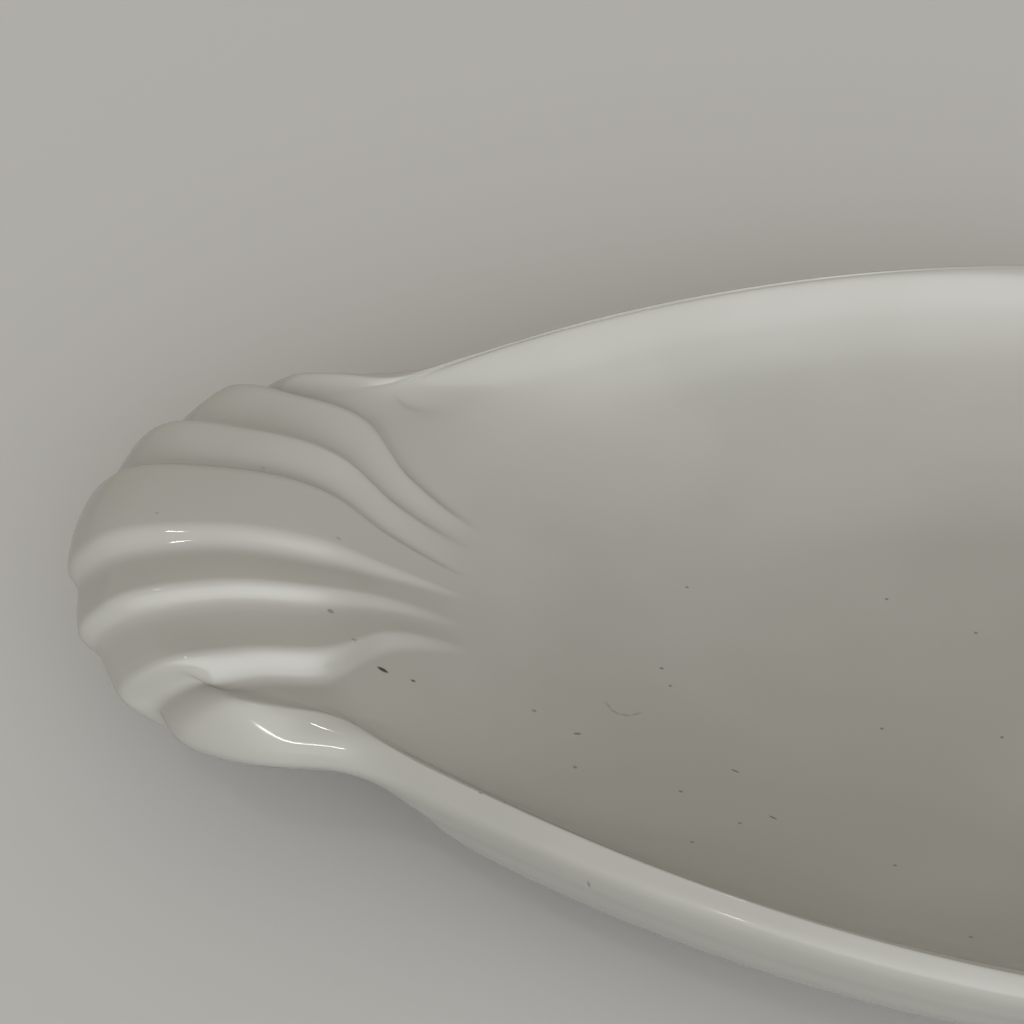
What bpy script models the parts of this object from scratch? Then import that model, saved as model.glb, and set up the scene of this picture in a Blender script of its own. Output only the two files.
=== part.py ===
"""Oval serving dish with a shell-fluted lug at each end, one piece of glazed ceramic.

The surface is one loft through plan curves, called rings. They run from the middle of the floor up
the wall, over the lug or the rim, down the outside, across the foot ring and back to the middle
underneath. One quarter is lofted and mirrored twice. Metres, +Z up, long axis along X, foot on Z = 0.
"""
import bpy
import numpy as np

NAME = "oval_dish"
NODE = "dish"

# Overall sizes
LENGTH = 0.280
WIDTH = 0.1325
RIM_HEIGHT = 0.028

# Plan of the long sides: half width * (1 - (x / tip) ** 2) ** power
SIDE_TIP = 0.1445
SIDE_POWER = 1.0
TIP_PER_INSET = 1.6

# Rim bead and the outside wall that curves in below it, with the angles on them of the rings
RIM_ROUND = 0.0029
OUTER_RUN = 0.0195
OUTER_DROP = 0.0183
BEAD_INSIDE = 135.0
BEAD_CREST = 112.0
OUTSIDE_UNDER = 10.0
OUTSIDE_ROOT = 25.0
OUTSIDE_BELOW = 52.0

# Bowl: length between the lugs' shoulders, run of the wall from rim to floor, and floor
BOWL_LENGTH = 0.2140
SIDE_RUN = 0.036
END_RUN = 0.0545
FLOOR_THICKNESS = 0.005

# Inside wall, going up: shares of its height, of its side run and of its end run, then the length
# of the ring's round cap and the share of the flutes' depth
WALL_PROFILE = (
    (0.00, 1.30, 1.30, 0.018, 0.0),
    (0.04, 0.92, 0.88, 0.020, 0.0),
    (0.25, 0.58, 0.57, 0.020, 0.0),
    (0.50, 0.32, 0.33, 0.018, 0.0),
    (0.76, 0.165, 0.145, 0.015, 0.55),
)
SHOULDER_CAP = 0.0095
CAP_FULLNESS = 0.55
CAP_HANDLE = 0.62

# Lugs: outline, arched top, rounded lip, and where the underside meets the bowl
LUG_RADIUS = 0.0354
NECK_LENGTH = 0.0115
NECK_ANGLE = 80.0
NECK_HANDLE = 0.38
LUG_RISE = 0.0060
LUG_ARCH = 0.0030
SIDE_LIFT = 0.0015
LUG_CROWN = 0.0042
SHOULDER_CROWN = 0.8
NECK_DIP = 0.0004
LUG_BLEND = 1.1
ARCH_FADE = 2.0
DIP_COLUMNS = 0.3
LIP_THICKNESS = 0.0094
LIP_ROUND = 0.0032
LUG_ROOT = 0.0980
LUG_ROOT_HEIGHT = 0.0155
BELOW_SHARE = 0.2
BELOW_DROP = 0.3

# Flutes: distance from the long axis of the three grooves on each side
GROOVES_AT_LIP = (0.0097, 0.0195, 0.0288)
GROOVES_ON_LUG = (0.0070, 0.0145, 0.0252)
GROOVES_ON_WALL = (0.0043, 0.0102, 0.0168)
GROOVES_ON_FLOOR = (0.0026, 0.0081, 0.0124)
GROOVE_DEPTHS = (0.0015, 0.0015, 0.0027)
MIDDLE_CREST = 0.6
LOBE_CREST = 0.7
LOBE_RISE = 1.15
OUTER_LOBE = 1.0
OUTER_LOBE_AT_LIP = 0.5
OUTER_RISE = 1.5
GROOVE_ROUND = 0.15

# Foot ring
FOOT_LENGTH = 0.132
FOOT_WIDTH = 0.086
FOOT_CAP = 0.019
FOOT_RING = 0.0045
FOOT_BEVEL = 0.0008
FOOT_ROOT = 0.0045
FOOT_HEIGHT = 0.0020
UNDERSIDE_STEP = 0.012

# Mesh density: columns in each lobe of a quarter and along the plain side, points in a plan curve
LOBE_COLUMNS = (4, 5, 5, 6)
SIDE_COLUMNS = 14
CURVE_POINTS = 80


def smooth(t):
    """Ease from 0 to 1 as t goes from 0 to 1."""
    t = np.clip(t, 0.0, 1.0)
    return t * t * (3.0 - 2.0 * t)


def bezier(p0, p1, p2, p3):
    """Points along a cubic Bezier curve."""
    t = np.linspace(0.0, 1.0, CURVE_POINTS)[:, None]
    p0, p1, p2, p3 = (np.asarray(p, float) for p in (p0, p1, p2, p3))
    return (1 - t) ** 3 * p0 + 3 * t * (1 - t) ** 2 * p1 + 3 * t * t * (1 - t) * p2 + t**3 * p3


def side_curve(inset, x):
    """Half width of the long side at x, for a ring that lies inset inside the rim's edge."""
    half = WIDTH / 2 - inset
    tip = SIDE_TIP - TIP_PER_INSET * inset
    return half * np.maximum(1.0 - (x / tip) ** 2, 0.0) ** SIDE_POWER


def side_direction(inset, x):
    """Unit tangent of the long side at x, pointing to the end of the dish."""
    step = 1e-5
    rise = (side_curve(inset, x + step) - side_curve(inset, x - step)) / (2 * step)
    return np.array([1.0, rise]) / np.hypot(1.0, rise)


def side_points(inset, join):
    """Points along the long side from x = join to mid length."""
    x = join * np.linspace(1.0, 0.0, 2 * CURVE_POINTS)
    return np.column_stack([x, side_curve(inset, x)])


def capped_ring(end, inset, cap):
    """Plan curve of a quarter: a rounded end on the long axis that runs into the long side."""
    join = end - cap
    meet = np.array([join, side_curve(inset, join)])
    back = meet + side_direction(inset, join) * cap * CAP_HANDLE
    front = bezier((end, 0.0), (end, CAP_FULLNESS * meet[1]), back, meet)
    return np.vstack([front, side_points(inset, join)[1:]]), len(front)


def lug_ring(inset, side_inset):
    """Plan curve of a quarter: round the lug, through the neck and along the long side."""
    radius = LUG_RADIUS - inset
    centre = LENGTH / 2 - LUG_RADIUS
    angle = np.radians(np.linspace(0.0, NECK_ANGLE, CURVE_POINTS))
    arc = np.column_stack([centre + radius * np.cos(angle), radius * np.sin(angle)])
    leave = np.array([-np.sin(angle[-1]), np.cos(angle[-1])])
    join = centre + LUG_RADIUS * np.cos(angle[-1]) - NECK_LENGTH
    meet = np.array([join, side_curve(side_inset, join)])
    handle = NECK_HANDLE * np.linalg.norm(meet - arc[-1])
    neck = bezier(arc[-1], arc[-1] + leave * handle,
                  meet + side_direction(side_inset, join) * handle, meet)
    side = side_points(side_inset, join)
    return np.vstack([arc, neck[1:], side[1:]]), len(arc) + len(neck) - 1


def monotone(knots, values, at):
    """Monotone cubic interpolation through a few knots."""
    h = np.diff(knots)
    slope = np.diff(values) / h
    tangent = np.zeros(len(knots))
    tangent[1:-1] = 3 * (h[1:] + h[:-1]) / ((2 * h[1:] + h[:-1]) / slope[:-1]
                                           + (h[1:] + 2 * h[:-1]) / slope[1:])
    tangent[0] = slope[0]
    tangent[-1] = slope[-1]
    k = np.clip(np.searchsorted(knots, at, side="right") - 1, 0, len(h) - 1)
    t = (at - knots[k]) / h[k]
    return (values[k] * (1 + 2 * t) * (1 - t) ** 2 + tangent[k] * h[k] * t * (1 - t) ** 2
            + values[k + 1] * t * t * (3 - 2 * t) + tangent[k + 1] * h[k] * t * t * (t - 1))


def place(curve, grooves, u):
    """Points of a plan curve at the columns u: whole numbers 1 to 3 are grooves, 4 is the neck."""
    points, cap = curve
    length = np.concatenate([[0.0], np.cumsum(np.linalg.norm(np.diff(points, axis=0), axis=1))])
    rise = np.maximum.accumulate(points[:cap, 1])
    marks = np.interp(grooves, rise, length[:cap])
    stops = np.concatenate([[0.0], marks, [length[cap - 1], length[-1]]])
    s = monotone(np.arange(6.0), stops, u)
    return np.column_stack([np.interp(s, length, points[:, 0]), np.interp(s, length, points[:, 1])])


def columns():
    """Column positions u along a quarter, from the long axis to mid length."""
    u = [0.0]
    for lobe, count in enumerate(LOBE_COLUMNS):
        u.extend(lobe + np.arange(1, count + 1) / count)
    u.extend(4.0 + np.arange(1, SIDE_COLUMNS + 1) / SIDE_COLUMNS)
    return np.array(u)


def rim(degrees):
    """Inset and level on the rim bead: 0 degrees is its outer edge, 90 its top."""
    angle = np.radians(degrees)
    return RIM_ROUND * (1 - np.cos(angle)), RIM_HEIGHT - RIM_ROUND * (1 - np.sin(angle))


def outside(degrees):
    """Inset and level on the outside wall: 0 degrees is the rim's outer edge."""
    angle = np.radians(degrees)
    return OUTER_RUN * (1 - np.cos(angle)), RIM_HEIGHT - RIM_ROUND - OUTER_DROP * np.sin(angle)


def rings(u):
    """All rings in order: points at the columns u, flutes, rows to the next ring.

    The flutes are the share of their depth and the width of the outer lobe in columns.
    """
    floor = FOOT_HEIGHT + FLOOR_THICKNESS
    top = RIM_HEIGHT + LUG_RISE
    lip = top - LUG_ARCH
    lug = (1.0 - smooth((u - 3.0) / LUG_BLEND))[:, None]
    dip = NECK_DIP * (smooth(u - 3.0) - smooth((u - 4.0) / DIP_COLUMNS))[:, None]
    fade = smooth((u - 1.0) / ARCH_FADE)[:, None]
    arched_lip = lip + SIDE_LIFT * fade
    foot_end = FOOT_LENGTH / 2
    foot_in = (WIDTH - FOOT_WIDTH) / 2

    def ring(curve, grooves, level, lug_level, arched=0.0):
        plan = place(curve, grooves, u)
        arch = arched * LUG_CROWN * (plan[:, 1:] / LUG_RADIUS) ** 2
        return np.column_stack([plan, level * (1.0 - lug) + (lug_level - arch) * lug - arched * dip])

    def middle(level):
        return np.column_stack([np.zeros((len(u), 2)), np.full(len(u), level)])

    def foot(step, level):
        curve = capped_ring(foot_end - step, foot_in + step, FOOT_CAP)
        return ring(curve, GROOVES_ON_FLOOR, level, level)

    plain = (0.0, OUTER_LOBE)
    result = [(middle(floor), plain, 2)]
    bead_inset, bead_level = rim(BEAD_INSIDE)
    for height, side, end, cap, flute in WALL_PROFILE:
        curve = capped_ring(BOWL_LENGTH / 2 - end * END_RUN, side * SIDE_RUN, cap)
        grooves = GROOVES_ON_WALL if flute > 0.5 else GROOVES_ON_FLOOR
        wall = ring(curve, grooves, floor + height * (bead_level - floor), floor + height * (lip - floor))
        result.append((wall, (flute, OUTER_LOBE), 2 if height < 0.2 else 3))

    shoulder = ring(capped_ring(BOWL_LENGTH / 2, bead_inset, SHOULDER_CAP), GROOVES_ON_LUG,
                    bead_level, lip, SHOULDER_CROWN)
    lip_top = ring(lug_ring(LIP_ROUND, RIM_ROUND), GROOVES_AT_LIP, RIM_HEIGHT, arched_lip, 1.0)
    crest = (shoulder + lip_top) / 2
    crown = LUG_CROWN * (crest[:, 1:2] / LUG_RADIUS) ** 2
    domed = top + (SIDE_LIFT - LUG_ARCH) * fade - crown
    crest[:, 2:] = rim(BEAD_CREST)[1] * (1.0 - lug) + domed * lug - dip
    edge = ring(lug_ring(0.0, 0.0), GROOVES_AT_LIP, rim(0)[1], lip - LIP_THICKNESS / 2, 1.0)
    inset, level = outside(OUTSIDE_UNDER)
    lip_under = ring(lug_ring(LIP_ROUND, inset), GROOVES_AT_LIP, level, lip - LIP_THICKNESS, 1.0)
    inset, level = outside(OUTSIDE_ROOT)
    root = ring(capped_ring(LUG_ROOT, inset, SHOULDER_CAP), GROOVES_ON_LUG, level, LUG_ROOT_HEIGHT)
    inset, level = outside(OUTSIDE_BELOW)
    below_end = LUG_ROOT + BELOW_SHARE * (foot_end - LUG_ROOT)
    below_level = LUG_ROOT_HEIGHT + BELOW_DROP * (FOOT_ROOT - LUG_ROOT_HEIGHT)
    below = ring(capped_ring(below_end, inset, FOOT_CAP), GROOVES_ON_WALL, level, below_level)
    result += [
        (shoulder, (1.0, OUTER_LOBE), 3), (crest, (1.0, OUTER_LOBE), 3),
        (lip_top, (0.9, OUTER_LOBE_AT_LIP), 3), (edge, (0.5, OUTER_LOBE_AT_LIP), 2),
        (lip_under, (0.3, OUTER_LOBE_AT_LIP), 2), ((lip_under + root) / 2, plain, 2),
        (root, plain, 2), (below, plain, 2), (foot(0.0, FOOT_ROOT), plain, 1),
        (foot(FOOT_BEVEL / 2, FOOT_BEVEL), plain, 1), (foot(FOOT_BEVEL, 0.0), plain, 1),
        (foot(FOOT_RING, 0.0), plain, 1), (foot(FOOT_RING + FOOT_BEVEL, FOOT_HEIGHT), plain, 1),
        (foot(FOOT_RING + UNDERSIDE_STEP, FOOT_HEIGHT), plain, 2), (middle(FOOT_HEIGHT), plain, 0),
    ]
    return result


def loft(keys, flutes, counts):
    """Rows of points along a curve through the rings at every column, with each row's flutes."""
    chord = np.linalg.norm(np.diff(keys, axis=0), axis=2)[..., None]
    slope = np.diff(keys, axis=0) / chord
    weight = chord[:-1] / (chord[:-1] + chord[1:])
    tangent = np.concatenate([slope[:1], slope[:-1] * (1 - weight) + slope[1:] * weight, slope[-1:]])
    rows = [keys[0]]
    row_flutes = [flutes[0]]
    for k, count in enumerate(counts[:-1]):
        for t in np.arange(1, count + 1) / count:
            rows.append(keys[k] * (1 + 2 * t) * (1 - t) ** 2 + tangent[k] * chord[k] * t * (1 - t) ** 2
                        + keys[k + 1] * t * t * (3 - 2 * t) + tangent[k + 1] * chord[k] * t * t * (t - 1))
            row_flutes.append(flutes[k] * (1 - t) + flutes[k + 1] * t)
    return np.array(rows), np.array(row_flutes)


def lobes(u, outer_lobe):
    """Height of the fluting across the lug: 1 on the lobes and 0 in the grooves.

    The middle lobe is level with steep sides. Each side lobe rises gently away from the middle and
    falls steeply to the next groove. The outer lobe rises into the rim.
    """
    q = np.mod(u, 1.0)
    crest = np.where(u < 1.0, MIDDLE_CREST, LOBE_CREST)
    rise = 1.0 - np.clip(1.0 - q / crest, 0.0, 1.0) ** LOBE_RISE
    fall = 1.0 - smooth((q - crest) / (1.0 - crest))
    outer = 1.0 - np.clip(1.0 - (u - 3.0) / outer_lobe, 0.0, 1.0) ** OUTER_RISE
    rise = np.where(u < 1.0, 1.0, rise)
    height = np.where(u < 3.0, np.where(q < crest, rise, fall), outer)
    height = np.where(u == 1.0, 0.0, height)
    rounded = np.hypot(height, GROOVE_ROUND) - GROOVE_ROUND
    return rounded / (np.hypot(1.0, GROOVE_ROUND) - GROOVE_ROUND)


def normals(points):
    """Normals of the smooth surface; the neighbours past each side of the quarter are mirrored."""
    before = points[:, 1:2] * (1, -1, 1)
    after = points[:, -2:-1] * (-1, 1, 1)
    wide = np.concatenate([before, points, after], axis=1)
    normal = np.cross(np.gradient(points, axis=0), wide[:, 2:] - wide[:, :-2])
    return normal / np.maximum(np.linalg.norm(normal, axis=2, keepdims=True), 1e-12)


def quarter():
    """Grid of points of one quarter, with the flutes pressed in along the normals."""
    u = columns()
    keys, flutes, counts = zip(*rings(u))
    points, flutes = loft(np.array(keys), np.array(flutes), counts)
    depth = np.interp(u, (1.0, 2.0, 3.0), GROOVE_DEPTHS)
    sunk = flutes[:, :1] * depth * (1.0 - lobes(u, flutes[:, 1:]))
    points = points - normals(points) * sunk[..., None]
    points[:, 0, 1] = 0.0
    points[:, -1, 0] = 0.0
    return points


def quarter_mesh(points):
    """Mesh of the quarter: a grid with a fan of triangles at each pole."""
    rows, count = points.shape[:2]
    grid = points[1:-1].reshape(-1, 3)
    vertices = [tuple(v) for v in grid] + [tuple(points[0, 0]), tuple(points[-1, 0])]
    top = len(grid)
    bottom = top + 1
    last = (rows - 3) * count
    faces = []
    for c in range(count - 1):
        faces.append((top, c, c + 1))
        faces.append((bottom, last + c + 1, last + c))
        for r in range(rows - 3):
            a = r * count + c
            faces.append((a, a + count, a + count + 1, a + 1))
    mesh = bpy.data.meshes.new(NODE)
    mesh.from_pydata(vertices, [], faces)
    mesh.validate()
    return mesh


def glaze():
    """White glaze with a slightly warm tint."""
    material = bpy.data.materials.new("glaze")
    material.use_nodes = True
    shader = material.node_tree.nodes["Principled BSDF"]
    shader.inputs["Base Color"].default_value = (0.62, 0.61, 0.57, 1.0)
    shader.inputs["Roughness"].default_value = 0.12
    shader.inputs["Metallic"].default_value = 0.0
    return material


def build_dish(collection):
    """The whole dish: the quarter, mirrored across both middle planes."""
    dish = bpy.data.objects.new(NODE, quarter_mesh(quarter()))
    collection.objects.link(dish)
    dish.data.materials.append(glaze())
    dish.data.shade_smooth()
    mirror = dish.modifiers.new("mirror", "MIRROR")
    mirror.use_axis = (True, True, False)
    mirror.use_clip = True
    mirror.merge_threshold = 0.00001
    return dish


def main():
    for old in list(bpy.data.objects):
        bpy.data.objects.remove(old)
    collection = bpy.data.collections.new(NAME)
    bpy.context.scene.collection.children.link(collection)
    build_dish(collection)


main()
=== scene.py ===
"""Looks of the oval dish: fine glazed surface, specks, pale floor, soft studio light and camera.

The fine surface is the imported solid's loft, read at more points. Its rim edge, outside wall, neck,
lip and some groove places have values of their own, which put it up to about 2 mm away from the
solid. Metres, +Z up, dish on Z = 0.
"""
import math

import bpy
import numpy as np
from mathutils import Matrix, Vector


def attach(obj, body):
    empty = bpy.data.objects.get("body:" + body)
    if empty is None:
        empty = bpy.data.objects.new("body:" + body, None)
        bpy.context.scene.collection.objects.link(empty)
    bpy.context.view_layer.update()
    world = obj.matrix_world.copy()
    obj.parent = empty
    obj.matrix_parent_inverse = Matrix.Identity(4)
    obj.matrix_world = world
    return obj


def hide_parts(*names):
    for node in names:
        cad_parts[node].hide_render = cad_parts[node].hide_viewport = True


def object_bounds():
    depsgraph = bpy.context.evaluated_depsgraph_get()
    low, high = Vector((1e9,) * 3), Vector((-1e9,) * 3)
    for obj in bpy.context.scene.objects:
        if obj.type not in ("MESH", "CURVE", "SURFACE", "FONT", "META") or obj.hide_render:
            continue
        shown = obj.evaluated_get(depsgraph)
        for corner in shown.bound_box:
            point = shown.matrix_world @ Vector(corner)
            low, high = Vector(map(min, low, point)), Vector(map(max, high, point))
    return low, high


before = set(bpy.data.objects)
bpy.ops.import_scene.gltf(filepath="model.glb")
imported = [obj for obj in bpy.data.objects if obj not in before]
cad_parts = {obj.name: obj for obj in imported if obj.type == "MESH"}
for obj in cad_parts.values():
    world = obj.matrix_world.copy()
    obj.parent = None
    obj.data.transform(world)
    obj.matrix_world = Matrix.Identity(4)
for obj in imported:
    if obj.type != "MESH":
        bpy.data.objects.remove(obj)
cad_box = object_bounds()

# Overall sizes
LENGTH = 0.280
WIDTH = 0.1319
RIM_HEIGHT = 0.028

# Plan of the long sides: half width * (1 - (x / tip) ** 2) ** power
SIDE_TIP = 0.1445
SIDE_POWER = 1.0
TIP_PER_INSET = 1.6

# Rim bead and the outside wall that curves in below it, with the angles on them of the rings
RIM_ROUND = 0.0015
OUTER_RUN = 0.0210
OUTER_DROP = 0.0218
BEAD_INSIDE = 125.0
BEAD_CREST = 112.0
OUTSIDE_UNDER = 10.0
OUTSIDE_ROOT = 25.0
OUTSIDE_BELOW = 52.0

# Bowl: length between the lugs' shoulders, run of the wall from rim to floor, and floor
BOWL_LENGTH = 0.2140
SIDE_RUN = 0.036
END_RUN = 0.0545
FLOOR_THICKNESS = 0.005

# Inside wall, going up: shares of its height, of its side run and of its end run, then the length
# of the ring's round cap and the share of the flutes' depth
WALL_PROFILE = (
    (0.00, 1.30, 1.30, 0.018, 0.0),
    (0.04, 0.92, 0.88, 0.020, 0.0),
    (0.25, 0.58, 0.57, 0.020, 0.0),
    (0.50, 0.32, 0.33, 0.018, 0.0),
    (0.76, 0.165, 0.145, 0.015, 0.55),
)
SHOULDER_CAP = 0.0095
CAP_FULLNESS = 0.55
CAP_HANDLE = 0.62

# Lugs: outline, arched top, rounded lip, and where the underside meets the bowl
LUG_RADIUS = 0.0349
NECK_LENGTH = 0.0160
NECK_ANGLE = 88.0
NECK_HANDLE = 0.38
LUG_RISE = 0.0060
LUG_ARCH = 0.0030
SIDE_LIFT = 0.0020
LUG_CROWN = 0.0038
SHOULDER_CROWN = 1.1
NECK_DIP = 0.0003
LUG_BLEND = 1.2
ARCH_FADE = 2.0
DIP_COLUMNS = 0.3
LIP_THICKNESS = 0.0104
LIP_ROUND = 0.0035
LUG_ROOT = 0.0980
LUG_ROOT_HEIGHT = 0.0155
BELOW_SHARE = 0.2
BELOW_DROP = 0.3

# Flutes: distance from the long axis of the three grooves on each side, their depths, the form of
# the lobes between them, and the shares of the depth round the lip
GROOVES_AT_LIP = (0.0097, 0.0192, 0.0283)
GROOVES_ON_LUG = (0.0069, 0.0144, 0.0242)
GROOVES_ON_WALL = (0.0043, 0.0102, 0.0168)
GROOVES_ON_FLOOR = (0.0026, 0.0081, 0.0124)
GROOVE_DEPTHS = (0.0015, 0.0015, 0.0027)
MIDDLE_CREST = 0.6
LOBE_CREST = 0.7
LOBE_RISE = 1.15
OUTER_LOBE = 1.0
OUTER_LOBE_AT_LIP = 0.25
OUTER_RISE = 1.5
GROOVE_ROUND = 0.15
FLUTES_ON_LIP = 1.2
FLUTES_AT_EDGE = 0.8
FLUTES_UNDER_LIP = 0.3

# Foot ring
FOOT_LENGTH = 0.132
FOOT_WIDTH = 0.086
FOOT_CAP = 0.019
FOOT_RING = 0.0045
FOOT_BEVEL = 0.0008
FOOT_ROOT = 0.0045
FOOT_HEIGHT = 0.0020
UNDERSIDE_STEP = 0.012

# Mesh density: columns in each lobe of a quarter and along the plain side, points in a plan curve,
# and fine rows for each row of the solid
LOBE_COLUMNS = (16, 20, 20, 30)
SIDE_COLUMNS = 36
CURVE_POINTS = 400
FINE_ROWS = 4

# Camera: angles in degrees, focal length in pixels of a frame 1024 wide, look point on the dish
CAMERA_ELEVATION = 43.0
CAMERA_AZIMUTH = -2.17
CAMERA_ROLL = 0.533
FOCAL_PIXELS = 1846.0
FRAME_PIXELS = 1024.0
SENSOR_WIDTH = 36.0
CLIP_START = 0.01
CAMERA_DISTANCE = 0.2442
LOOK_POINT = Vector((-0.0835, 0.00835, 0.0251))

# Glaze, and the bare clay of the foot ring
GLAZE_LIGHT = (0.512, 0.500, 0.460, 1.0)
GLAZE_DEEP = (0.472, 0.464, 0.420, 1.0)
GLAZE_ROUGHNESS = 0.07
GLAZE_IOR = 1.52
SPECK_BROWN = (0.060, 0.042, 0.024, 1.0)
FOOT_CLAY = (0.440, 0.405, 0.345, 1.0)
BARE_HEIGHT = 0.0006
BARE_FULL = 0.6
CLAY_ROUGHER = 0.6

# Noise on the surface, as scale and detail: clouds in the colour, smears in the gloss, ripples in
# the glaze and grain in the clay
CLOUDS = (22.0, 3.0)
SMEARS = (35.0, 3.0)
RIPPLES = (45.0, 1.5)
CLAY_GRAIN = (500.0, 4.0)
CLOUD_RANGE = (0.35, 0.65)
SMEAR_RANGE = (0.35, 0.70)
SMEAR_SHARES = (0.8, 1.4)
RIPPLE_STRENGTH = 0.35
RIPPLE_HEIGHT = 0.0004

# Firing specks: middle in millimetres, half length and half width in millimetres, turn in degrees,
# and how dark the speck is; the last four join up to a soft hair
SPECKS = (
    (-98.0, -19.8, 23.8, 0.85, 0.34, -24, 1.0),
    (-94.3, -20.1, 22.0, 0.34, 0.24, 0, 0.85),
    (-104.8, -13.9, 27.9, 0.46, 0.36, 0, 0.45),
    (-101.5, -18.2, 28.1, 0.34, 0.25, 0, 0.40),
    (-105.0, -2.7, 29.7, 0.40, 0.28, 0, 0.22),
    (-115.9, 7.7, 31.7, 0.36, 0.26, 0, 0.22),
    (-127.5, -3.5, 33.8, 0.30, 0.26, 0, 0.20),
    (-59.1, 12.1, 8.5, 0.30, 0.24, 0, 0.45),
    (-31.1, 12.6, 7.0, 0.30, 0.24, 0, 0.50),
    (-19.5, 6.8, 6.9, 0.30, 0.26, 0, 0.50),
    (-62.9, -3.7, 9.0, 0.32, 0.24, 0, 0.55),
    (-61.8, -6.6, 8.8, 0.28, 0.22, 0, 0.50),
    (-79.5, -17.7, 15.2, 0.34, 0.26, 0, 0.45),
    (-74.0, -19.6, 13.3, 0.60, 0.20, 20, 0.60),
    (-74.2, -25.9, 14.2, 0.32, 0.26, 0, 0.50),
    (-34.2, -11.2, 7.0, 0.28, 0.22, 0, 0.50),
    (-18.7, -11.8, 7.0, 0.30, 0.24, 0, 0.50),
    (-53.8, -20.3, 8.3, 0.60, 0.18, -20, 0.55),
    (-49.6, -28.2, 9.2, 0.60, 0.18, -30, 0.60),
    (-61.0, -26.0, 10.7, 0.30, 0.22, 0, 0.55),
    (-53.9, -30.3, 10.5, 0.28, 0.22, 0, 0.50),
    (-35.5, -35.2, 9.9, 0.30, 0.22, 0, 0.50),
    (-65.5, -49.6, 27.9, 0.30, 0.22, 0, 0.50),
    (-60.1, -36.0, 13.7, 0.30, 0.24, 0, 0.50),
    (-43.7, -57.0, 28.0, 0.32, 0.24, 0, 0.55),
    (-41.7, -56.6, 27.8, 0.26, 0.20, 0, 0.50),
    (-29.3, -48.8, 15.2, 0.30, 0.24, 0, 0.50),
    (-84.8, -40.9, 27.8, 0.30, 0.24, 0, 0.50),
    (-72.5, -49.1, 21.6, 0.26, 0.22, 0, 0.50),
    (-48.2, -55.2, 27.9, 0.30, 0.24, 0, 0.50),
    (-47.0, -55.6, 28.0, 0.55, 0.18, -35, 0.45),
    (-70.1, -12.9, 11.6, 0.75, 0.20, -55, 0.22),
    (-69.2, -13.8, 11.3, 0.80, 0.20, -25, 0.26),
    (-67.9, -13.9, 10.9, 0.90, 0.20, 5, 0.26),
    (-66.4, -13.2, 10.4, 0.95, 0.20, 35, 0.22),
)
SPECK_DEPTH = 3.0
SPECK_EDGE = 1.15
SPECK_CORE = 0.55
MILLIMETRE = 0.001

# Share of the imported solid's box that the fine surface may fill, and how near the mirrored seams join
BOX_MARGIN = 0.99995
SEAM_DISTANCE = 0.00001

# Floor: the colour that is seen, and the darker one that lights the dish from below
FLOOR_COLOUR = (0.70, 0.69, 0.67, 1.0)
FLOOR_BOUNCE = (0.26, 0.25, 0.23, 1.0)
FLOOR_ROUGHNESS = 0.8
FLOOR_SIZE = 4.0
FLOOR_LEVEL = -0.0001

# Light: the room all round, the wide window on the near side and the weak light from behind, with
# the nearness to the window's direction at which each starts and is full
ROOM_LIGHT = (0.350, 0.333, 0.300, 1.0)
WINDOW_LIGHT = (2.95, 3.03, 3.12, 1.0)
WINDOW_ELEVATION = 12.0
WINDOW_TURN = 17.0
WINDOW_START = 0.56
WINDOW_FULL = 1.08
BACK_LIGHT = (0.56, 0.54, 0.50, 1.0)
BACK_START = -0.30
BACK_FULL = -1.00

# Lamps of the glints on the near rim and on the handle's bead: place, aim and watts
HIGH_LAMP = ((-0.303, -0.378, 0.942), (-0.058, -0.053, 0.028), 0.22)
LOW_LAMP = ((-0.484, -0.923, 0.437), (-0.106, -0.034, 0.027), 0.11)
HIGH_WIDTH = 0.08
LOW_WIDTH = 0.05
LAMP_DEPTH = 0.014


def smooth(t):
    """Ease from 0 to 1 as t goes from 0 to 1."""
    t = np.clip(t, 0.0, 1.0)
    return t * t * (3.0 - 2.0 * t)


def bezier(p0, p1, p2, p3):
    """Points along a cubic Bezier curve."""
    t = np.linspace(0.0, 1.0, CURVE_POINTS)[:, None]
    p0, p1, p2, p3 = (np.asarray(p, float) for p in (p0, p1, p2, p3))
    return (1 - t) ** 3 * p0 + 3 * t * (1 - t) ** 2 * p1 + 3 * t * t * (1 - t) * p2 + t**3 * p3


def side_curve(inset, x):
    """Half width of the long side at x, for a ring that lies inset inside the rim's edge."""
    half = WIDTH / 2 - inset
    tip = SIDE_TIP - TIP_PER_INSET * inset
    return half * np.maximum(1.0 - (x / tip) ** 2, 0.0) ** SIDE_POWER


def side_direction(inset, x):
    """Unit tangent of the long side at x, pointing to the end of the dish."""
    step = 1e-5
    rise = (side_curve(inset, x + step) - side_curve(inset, x - step)) / (2 * step)
    return np.array([1.0, rise]) / np.hypot(1.0, rise)


def side_points(inset, join):
    """Points along the long side from x = join to mid length."""
    x = join * np.linspace(1.0, 0.0, 2 * CURVE_POINTS)
    return np.column_stack([x, side_curve(inset, x)])


def capped_ring(end, inset, cap):
    """Plan curve of a quarter: a rounded end on the long axis that runs into the long side."""
    join = end - cap
    meet = np.array([join, side_curve(inset, join)])
    back = meet + side_direction(inset, join) * cap * CAP_HANDLE
    front = bezier((end, 0.0), (end, CAP_FULLNESS * meet[1]), back, meet)
    return np.vstack([front, side_points(inset, join)[1:]]), len(front)


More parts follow.
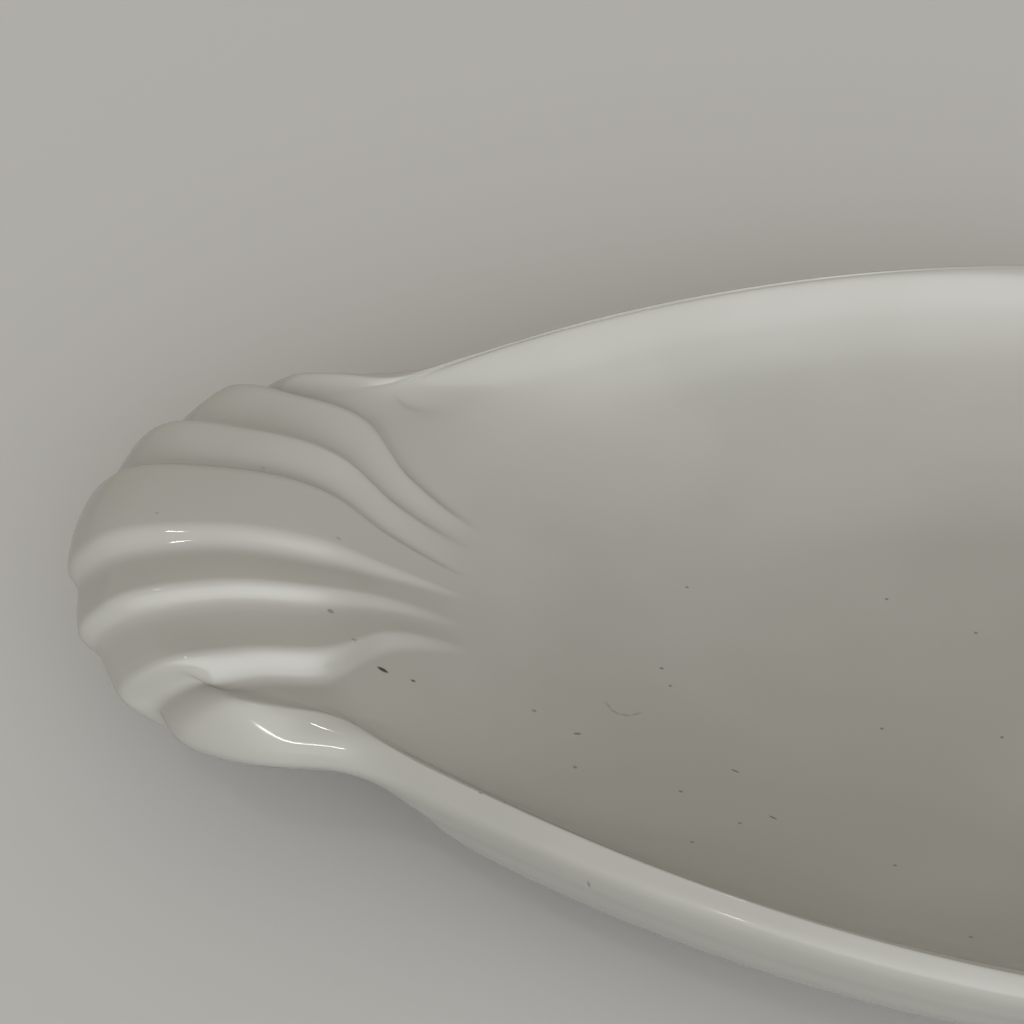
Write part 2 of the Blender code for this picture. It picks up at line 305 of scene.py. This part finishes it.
def lug_ring(inset, side_inset):
    """Plan curve of a quarter: round the lug, through the neck and along the long side."""
    radius = LUG_RADIUS - inset
    centre = LENGTH / 2 - LUG_RADIUS
    angle = np.radians(np.linspace(0.0, NECK_ANGLE, CURVE_POINTS))
    arc = np.column_stack([centre + radius * np.cos(angle), radius * np.sin(angle)])
    leave = np.array([-np.sin(angle[-1]), np.cos(angle[-1])])
    join = centre + LUG_RADIUS * np.cos(angle[-1]) - NECK_LENGTH
    meet = np.array([join, side_curve(side_inset, join)])
    handle = NECK_HANDLE * np.linalg.norm(meet - arc[-1])
    neck = bezier(arc[-1], arc[-1] + leave * handle,
                  meet + side_direction(side_inset, join) * handle, meet)
    side = side_points(side_inset, join)
    return np.vstack([arc, neck[1:], side[1:]]), len(arc) + len(neck) - 1


def monotone(knots, values, at):
    """Monotone cubic interpolation through a few knots."""
    h = np.diff(knots)
    slope = np.diff(values) / h
    tangent = np.zeros(len(knots))
    tangent[1:-1] = 3 * (h[1:] + h[:-1]) / ((2 * h[1:] + h[:-1]) / slope[:-1]
                                           + (h[1:] + 2 * h[:-1]) / slope[1:])
    tangent[0] = slope[0]
    tangent[-1] = slope[-1]
    k = np.clip(np.searchsorted(knots, at, side="right") - 1, 0, len(h) - 1)
    t = (at - knots[k]) / h[k]
    return (values[k] * (1 + 2 * t) * (1 - t) ** 2 + tangent[k] * h[k] * t * (1 - t) ** 2
            + values[k + 1] * t * t * (3 - 2 * t) + tangent[k + 1] * h[k] * t * t * (t - 1))


def place(curve, grooves, u):
    """Points of a plan curve at the columns u: whole numbers 1 to 3 are grooves, 4 is the neck."""
    points, cap = curve
    length = np.concatenate([[0.0], np.cumsum(np.linalg.norm(np.diff(points, axis=0), axis=1))])
    rise = np.maximum.accumulate(points[:cap, 1])
    marks = np.interp(grooves, rise, length[:cap])
    stops = np.concatenate([[0.0], marks, [length[cap - 1], length[-1]]])
    s = monotone(np.arange(6.0), stops, u)
    return np.column_stack([np.interp(s, length, points[:, 0]), np.interp(s, length, points[:, 1])])


def columns():
    """Column positions u along a quarter, from the long axis to mid length."""
    u = [0.0]
    for lobe, count in enumerate(LOBE_COLUMNS):
        u.extend(lobe + np.arange(1, count + 1) / count)
    u.extend(4.0 + np.arange(1, SIDE_COLUMNS + 1) / SIDE_COLUMNS)
    return np.array(u)


def rim(degrees):
    """Inset and level on the rim bead: 0 degrees is its outer edge, 90 its top."""
    angle = np.radians(degrees)
    return RIM_ROUND * (1 - np.cos(angle)), RIM_HEIGHT - RIM_ROUND * (1 - np.sin(angle))


def outside(degrees):
    """Inset and level on the outside wall: 0 degrees is the rim's outer edge."""
    angle = np.radians(degrees)
    return OUTER_RUN * (1 - np.cos(angle)), RIM_HEIGHT - RIM_ROUND - OUTER_DROP * np.sin(angle)


def rings(u):
    """All rings in order: points at the columns u, flutes, rows to the next ring.

    The flutes are the share of their depth and the width of the outer lobe in columns.
    """
    floor = FOOT_HEIGHT + FLOOR_THICKNESS
    top = RIM_HEIGHT + LUG_RISE
    lip = top - LUG_ARCH
    lug = (1.0 - smooth((u - 3.0) / LUG_BLEND))[:, None]
    dip = NECK_DIP * (smooth(u - 3.0) - smooth((u - 4.0) / DIP_COLUMNS))[:, None]
    fade = smooth((u - 1.0) / ARCH_FADE)[:, None]
    arched_lip = lip + SIDE_LIFT * fade
    foot_end = FOOT_LENGTH / 2
    foot_in = (WIDTH - FOOT_WIDTH) / 2

    def ring(curve, grooves, level, lug_level, arched=0.0):
        plan = place(curve, grooves, u)
        arch = arched * LUG_CROWN * (plan[:, 1:] / LUG_RADIUS) ** 2
        return np.column_stack([plan, level * (1.0 - lug) + (lug_level - arch) * lug - arched * dip])

    def middle(level):
        return np.column_stack([np.zeros((len(u), 2)), np.full(len(u), level)])

    def foot(step, level):
        curve = capped_ring(foot_end - step, foot_in + step, FOOT_CAP)
        return ring(curve, GROOVES_ON_FLOOR, level, level)

    plain = (0.0, OUTER_LOBE)
    result = [(middle(floor), plain, 2)]
    bead_inset, bead_level = rim(BEAD_INSIDE)
    for height, side, end, cap, flute in WALL_PROFILE:
        curve = capped_ring(BOWL_LENGTH / 2 - end * END_RUN, side * SIDE_RUN, cap)
        grooves = GROOVES_ON_WALL if flute > 0.5 else GROOVES_ON_FLOOR
        wall = ring(curve, grooves, floor + height * (bead_level - floor), floor + height * (lip - floor))
        result.append((wall, (flute, OUTER_LOBE), 2 if height < 0.2 else 3))

    shoulder = ring(capped_ring(BOWL_LENGTH / 2, bead_inset, SHOULDER_CAP), GROOVES_ON_LUG,
                    bead_level, lip, SHOULDER_CROWN)
    lip_top = ring(lug_ring(LIP_ROUND, RIM_ROUND), GROOVES_AT_LIP, RIM_HEIGHT, arched_lip, 1.0)
    crest = (shoulder + lip_top) / 2
    crown = LUG_CROWN * (crest[:, 1:2] / LUG_RADIUS) ** 2
    domed = top + (SIDE_LIFT - LUG_ARCH) * fade - crown
    crest[:, 2:] = rim(BEAD_CREST)[1] * (1.0 - lug) + domed * lug - dip
    edge = ring(lug_ring(0.0, 0.0), GROOVES_AT_LIP, rim(0)[1], lip - LIP_THICKNESS / 2, 1.0)
    inset, level = outside(OUTSIDE_UNDER)
    lip_under = ring(lug_ring(LIP_ROUND, inset), GROOVES_AT_LIP, level, lip - LIP_THICKNESS, 1.0)
    inset, level = outside(OUTSIDE_ROOT)
    root = ring(capped_ring(LUG_ROOT, inset, SHOULDER_CAP), GROOVES_ON_LUG, level, LUG_ROOT_HEIGHT)
    inset, level = outside(OUTSIDE_BELOW)
    below_end = LUG_ROOT + BELOW_SHARE * (foot_end - LUG_ROOT)
    below_level = LUG_ROOT_HEIGHT + BELOW_DROP * (FOOT_ROOT - LUG_ROOT_HEIGHT)
    below = ring(capped_ring(below_end, inset, FOOT_CAP), GROOVES_ON_WALL, level, below_level)
    result += [
        (shoulder, (1.0, OUTER_LOBE), 3), (crest, (1.0, OUTER_LOBE), 3),
        (lip_top, (FLUTES_ON_LIP, OUTER_LOBE_AT_LIP), 3), (edge, (FLUTES_AT_EDGE, OUTER_LOBE_AT_LIP), 2),
        (lip_under, (FLUTES_UNDER_LIP, OUTER_LOBE_AT_LIP), 2), ((lip_under + root) / 2, plain, 2),
        (root, plain, 2), (below, plain, 2), (foot(0.0, FOOT_ROOT), plain, 1),
        (foot(FOOT_BEVEL / 2, FOOT_BEVEL), plain, 1), (foot(FOOT_BEVEL, 0.0), plain, 1),
        (foot(FOOT_RING, 0.0), plain, 1), (foot(FOOT_RING + FOOT_BEVEL, FOOT_HEIGHT), plain, 1),
        (foot(FOOT_RING + UNDERSIDE_STEP, FOOT_HEIGHT), plain, 2), (middle(FOOT_HEIGHT), plain, 0),
    ]
    return result


def loft(keys, flutes, counts):
    """Rows of points along a curve through the rings at every column, with each row's flutes."""
    chord = np.linalg.norm(np.diff(keys, axis=0), axis=2)[..., None]
    slope = np.diff(keys, axis=0) / chord
    weight = chord[:-1] / (chord[:-1] + chord[1:])
    tangent = np.concatenate([slope[:1], slope[:-1] * (1 - weight) + slope[1:] * weight, slope[-1:]])
    rows = [keys[0]]
    row_flutes = [flutes[0]]
    for k, count in enumerate(counts[:-1]):
        steps = count * FINE_ROWS if count > 1 else 1
        for t in np.arange(1, steps + 1) / steps:
            rows.append(keys[k] * (1 + 2 * t) * (1 - t) ** 2 + tangent[k] * chord[k] * t * (1 - t) ** 2
                        + keys[k + 1] * t * t * (3 - 2 * t) + tangent[k + 1] * chord[k] * t * t * (t - 1))
            row_flutes.append(flutes[k] * (1 - t) + flutes[k + 1] * t)
    return np.array(rows), np.array(row_flutes)


def lobes(u, outer_lobe):
    """Height of the fluting across the lug: 1 on the lobes and 0 in the grooves.

    The middle lobe is level with steep sides. Each side lobe rises gently away from the middle and
    falls steeply to the next groove. The outer lobe rises into the rim.
    """
    q = np.mod(u, 1.0)
    crest = np.where(u < 1.0, MIDDLE_CREST, LOBE_CREST)
    rise = 1.0 - np.clip(1.0 - q / crest, 0.0, 1.0) ** LOBE_RISE
    fall = 1.0 - smooth((q - crest) / (1.0 - crest))
    outer = 1.0 - np.clip(1.0 - (u - 3.0) / outer_lobe, 0.0, 1.0) ** OUTER_RISE
    rise = np.where(u < 1.0, 1.0, rise)
    height = np.where(u < 3.0, np.where(q < crest, rise, fall), outer)
    rounded = np.hypot(height, GROOVE_ROUND) - GROOVE_ROUND
    return rounded / (np.hypot(1.0, GROOVE_ROUND) - GROOVE_ROUND)


def normals(points):
    """Normals of the smooth surface; the neighbours past each side of the quarter are mirrored."""
    before = points[:, 1:2] * (1, -1, 1)
    after = points[:, -2:-1] * (-1, 1, 1)
    wide = np.concatenate([before, points, after], axis=1)
    normal = np.cross(np.gradient(points, axis=0), wide[:, 2:] - wide[:, :-2])
    return normal / np.maximum(np.linalg.norm(normal, axis=2, keepdims=True), 1e-12)


def quarter():
    """Grid of points of one quarter, with the flutes pressed in along the normals."""
    u = columns()
    keys, flutes, counts = zip(*rings(u))
    points, flutes = loft(np.array(keys), np.array(flutes), counts)
    depth = np.interp(u, (1.0, 2.0, 3.0), GROOVE_DEPTHS)
    sunk = flutes[:, :1] * depth * (1.0 - lobes(u, flutes[:, 1:]))
    points = points - normals(points) * sunk[..., None]
    points[:, 0, 1] = 0.0
    points[:, -1, 0] = 0.0
    return points


def full_mesh(points):
    """Mesh of one quarter of the dish: a grid and a fan at each pole; make_dish mirrors it twice."""
    rows, count = points.shape[:2]
    grid = points[1:-1].reshape(-1, 3)
    vertices = np.vstack([grid, points[0, :1], points[-1, :1]])
    top = len(grid)
    bottom = top + 1
    last = (rows - 3) * count
    faces = []
    for c in range(count - 1):
        faces.append((top, c, c + 1))
        faces.append((bottom, last + c + 1, last + c))
        for r in range(rows - 3):
            a = r * count + c
            faces.append((a, a + count, a + count + 1, a + 1))
    mesh = bpy.data.meshes.new("glazed_dish")
    mesh.from_pydata(vertices.tolist(), [], faces)
    return mesh


def fit_inside(points, corner):
    """The quarter's points, shrunk by a hair where they pass the far corner of the solid's box."""
    limit = np.array(list(corner)) * BOX_MARGIN
    reach = points.reshape(-1, 3).max(axis=0)
    return points * np.minimum(limit / reach, 1.0)


class Nodes:
    """Short calls for building the node tree of a material or of the world."""

    def __init__(self, owner):
        owner.use_nodes = True
        self.tree = owner.node_tree
        self.shader = self.tree.nodes.get("Principled BSDF")

    def new(self, kind, **settings):
        node = self.tree.nodes.new(kind)
        for name, value in settings.items():
            setattr(node, name, value)
        return node

    def link(self, source, target):
        self.tree.links.new(source, target)

    def math(self, operation, first, second):
        node = self.new("ShaderNodeMath", operation=operation)
        for socket, value in zip(node.inputs, (first, second)):
            if isinstance(value, (int, float)):
                socket.default_value = value
            else:
                self.link(value, socket)
        return node.outputs[0]

    def mix(self, share, first, second):
        node = self.new("ShaderNodeMix", data_type="RGBA")
        for socket, value in ((node.inputs[0], share), (node.inputs[6], first), (node.inputs[7], second)):
            if isinstance(value, (int, float, tuple)):
                socket.default_value = value
            else:
                self.link(value, socket)
        return node.outputs[2]

    def noise(self, place, scale, detail):
        node = self.new("ShaderNodeTexNoise")
        node.inputs["Scale"].default_value = scale
        node.inputs["Detail"].default_value = detail
        self.link(place, node.inputs["Vector"])
        return node.outputs["Fac"]

    def ramp(self, value, low, high, to_low=0.0, to_high=1.0):
        node = self.new("ShaderNodeMapRange", interpolation_type="SMOOTHSTEP")
        for socket, number in zip(node.inputs[1:5], (low, high, to_low, to_high)):
            socket.default_value = number
        self.link(value, node.inputs[0])
        return node.outputs[0]


def speck_mask(nodes, place):
    """How dark the specks are at a place on the dish, from 0 to 1."""
    mask = 0.0
    for *middle, length, width, turn, dark in SPECKS:
        size = (length, width, SPECK_DEPTH)
        spot = nodes.new("ShaderNodeMapping", vector_type="TEXTURE")
        spot.inputs["Location"].default_value = [value * MILLIMETRE for value in middle]
        spot.inputs["Rotation"].default_value = (0.0, 0.0, math.radians(turn))
        spot.inputs["Scale"].default_value = [value * MILLIMETRE for value in size]
        nodes.link(place, spot.inputs["Vector"])
        away = nodes.new("ShaderNodeVectorMath", operation="LENGTH")
        nodes.link(spot.outputs["Vector"], away.inputs[0])
        shade = nodes.ramp(away.outputs["Value"], SPECK_EDGE, SPECK_CORE, 0.0, dark)
        mask = nodes.math("MAXIMUM", shade, mask)
    return mask


def glaze_material():
    """Warm white glaze with cloudy depth, small brown specks and a bare clay foot."""
    material = bpy.data.materials.new("glaze")
    nodes = Nodes(material)
    place = nodes.new("ShaderNodeTexCoord").outputs["Object"]
    height = nodes.new("ShaderNodeSeparateXYZ")
    nodes.link(place, height.inputs[0])

    clouds = nodes.ramp(nodes.noise(place, *CLOUDS), *CLOUD_RANGE)
    glaze = nodes.mix(clouds, GLAZE_DEEP, GLAZE_LIGHT)
    specked = nodes.mix(speck_mask(nodes, place), glaze, SPECK_BROWN)
    bare = nodes.ramp(height.outputs["Z"], BARE_HEIGHT, BARE_HEIGHT * BARE_FULL)
    clay = nodes.mix(nodes.noise(place, *CLAY_GRAIN), FOOT_CLAY, GLAZE_DEEP)
    nodes.link(nodes.mix(bare, specked, clay), nodes.shader.inputs["Base Color"])

    least, most = (GLAZE_ROUGHNESS * share for share in SMEAR_SHARES)
    smear = nodes.ramp(nodes.noise(place, *SMEARS), *SMEAR_RANGE, least, most)
    rougher = nodes.math("MULTIPLY", bare, CLAY_ROUGHER)
    nodes.link(nodes.math("ADD", smear, rougher), nodes.shader.inputs["Roughness"])
    nodes.shader.inputs["IOR"].default_value = GLAZE_IOR

    ripple = nodes.new("ShaderNodeBump")
    ripple.inputs["Strength"].default_value = RIPPLE_STRENGTH
    ripple.inputs["Distance"].default_value = RIPPLE_HEIGHT
    nodes.link(nodes.noise(place, *RIPPLES), ripple.inputs["Height"])
    nodes.link(ripple.outputs["Normal"], nodes.shader.inputs["Normal"])
    return material


def make_dish():
    points = fit_inside(quarter(), cad_box[1])
    dish = bpy.data.objects.new("glazed_dish", full_mesh(points))
    bpy.context.scene.collection.objects.link(dish)
    dish.data.materials.append(glaze_material())
    dish.data.shade_smooth()
    mirror = dish.modifiers.new("mirror", "MIRROR")
    mirror.use_axis = (True, True, False)
    mirror.use_clip = True
    mirror.merge_threshold = SEAM_DISTANCE
    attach(dish, "root")
    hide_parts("dish")


def make_camera():
    elevation = math.radians(CAMERA_ELEVATION)
    azimuth = math.radians(CAMERA_AZIMUTH)
    roll = math.radians(CAMERA_ROLL)
    forward = Vector((math.sin(azimuth) * math.cos(elevation),
                      math.cos(azimuth) * math.cos(elevation), -math.sin(elevation)))
    level = Vector((math.cos(azimuth), -math.sin(azimuth), 0.0))
    above = level.cross(forward)
    right = math.cos(roll) * level + math.sin(roll) * above
    up = math.cos(roll) * above - math.sin(roll) * level
    camera = bpy.data.objects.new("camera", bpy.data.cameras.new("camera"))
    camera.data.sensor_width = SENSOR_WIDTH
    camera.data.lens = FOCAL_PIXELS / FRAME_PIXELS * SENSOR_WIDTH
    camera.data.clip_start = CLIP_START
    pose = Matrix((right, up, -forward)).transposed().to_4x4()
    pose.translation = LOOK_POINT - forward * CAMERA_DISTANCE
    camera.matrix_world = pose
    bpy.context.scene.collection.objects.link(camera)
    bpy.context.scene.camera = camera


def make_floor():
    bpy.ops.mesh.primitive_plane_add(size=FLOOR_SIZE, location=(0.0, 0.0, FLOOR_LEVEL))
    floor = bpy.context.object
    floor.name = "floor"
    material = bpy.data.materials.new("floor")
    nodes = Nodes(material)
    path = nodes.new("ShaderNodeLightPath")
    seen = nodes.math("MAXIMUM", path.outputs["Is Camera Ray"], path.outputs["Is Glossy Ray"])
    seen = nodes.math("MAXIMUM", seen, path.outputs["Is Transmission Ray"])
    nodes.link(nodes.mix(seen, FLOOR_BOUNCE, FLOOR_COLOUR), nodes.shader.inputs["Base Color"])
    nodes.shader.inputs["Roughness"].default_value = FLOOR_ROUGHNESS
    floor.data.materials.append(material)


def lamp(name, width, place, target, power):
    light = bpy.data.lights.new(name, "AREA")
    light.shape = "RECTANGLE"
    light.size = width
    light.size_y = LAMP_DEPTH
    light.energy = power
    holder = bpy.data.objects.new(name, light)
    holder.location = place
    holder.rotation_euler = (Vector(target) - Vector(place)).to_track_quat("-Z", "Y").to_euler()
    bpy.context.scene.collection.objects.link(holder)


def make_world():
    """Soft light from all round, stronger low down on the near side, with a little from behind."""
    world = bpy.data.worlds.new("world")
    nodes = Nodes(world)
    elevation = math.radians(WINDOW_ELEVATION)
    turn = math.radians(WINDOW_TURN)
    toward = nodes.new("ShaderNodeVectorMath", operation="DOT_PRODUCT")
    toward.inputs[1].default_value = (math.sin(turn) * math.cos(elevation),
                                      -math.cos(turn) * math.cos(elevation), math.sin(elevation))
    nodes.link(nodes.new("ShaderNodeTexCoord").outputs["Generated"], toward.inputs[0])
    behind = nodes.ramp(toward.outputs["Value"], BACK_START, BACK_FULL)
    window = nodes.ramp(toward.outputs["Value"], WINDOW_START, WINDOW_FULL)
    light = nodes.mix(window, nodes.mix(behind, ROOM_LIGHT, BACK_LIGHT), WINDOW_LIGHT)
    nodes.link(light, nodes.tree.nodes["Background"].inputs["Color"])
    bpy.context.scene.world = world


def make_lamps():
    """Small bright lamps that draw the glints."""
    lamp("high", HIGH_WIDTH, *HIGH_LAMP)
    lamp("low", LOW_WIDTH, *LOW_LAMP)


make_dish()
make_camera()
make_floor()
make_world()
make_lamps()
bpy.context.scene.view_settings.view_transform = "Standard"
